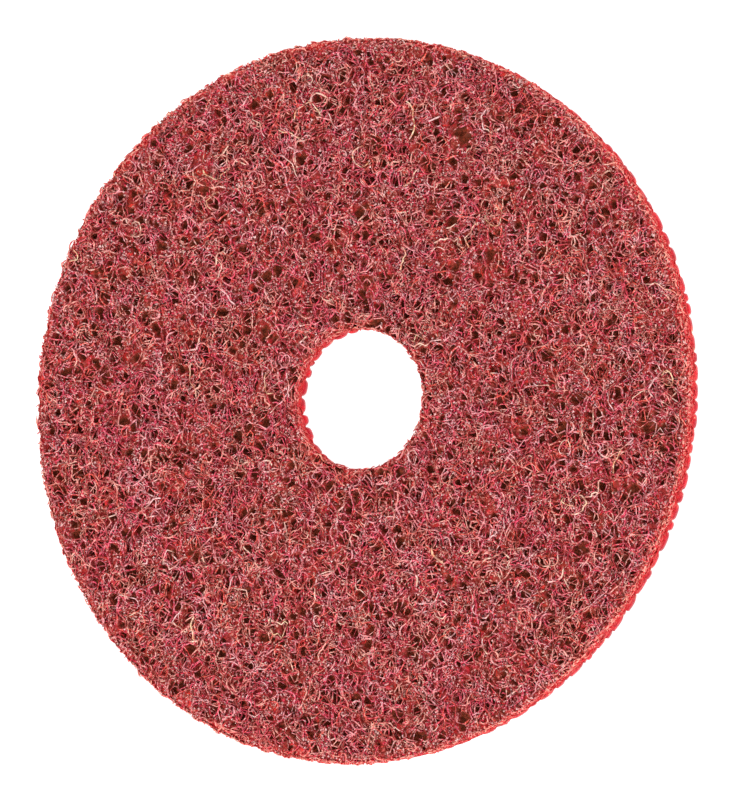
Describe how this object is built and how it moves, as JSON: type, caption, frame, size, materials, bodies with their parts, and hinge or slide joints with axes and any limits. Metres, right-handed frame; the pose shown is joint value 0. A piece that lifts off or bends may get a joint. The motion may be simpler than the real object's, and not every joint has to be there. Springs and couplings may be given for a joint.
{
  "type": "surface conditioning disc",
  "caption": "Flat round surface conditioning disc: a lofty abrasive fibre web bonded to a resin-soaked woven scrim, with a plain centre hole for a tool arbor.",
  "frame": {"origin": "on the disc's axis at the back face, which is the bottom of the part", "axes": "+Z runs along the arbor hole's axis, out of the working face; X and Y lie in the back face along the scrim's yarns"},
  "size_m": [0.1148, 0.1148, 0.0048],
  "materials": {
    "abrasive_web": "open maroon nylon fibre, matte with glinting abrasive grain",
    "scrim_backing": "woven scrim soaked in bright red resin, satin with glossy yarn ends"
  },
  "bodies": {
    "root": {"abrasive_web": "abrasive_web", "scrim_backing": "scrim_backing"}
  },
  "joints": []
}
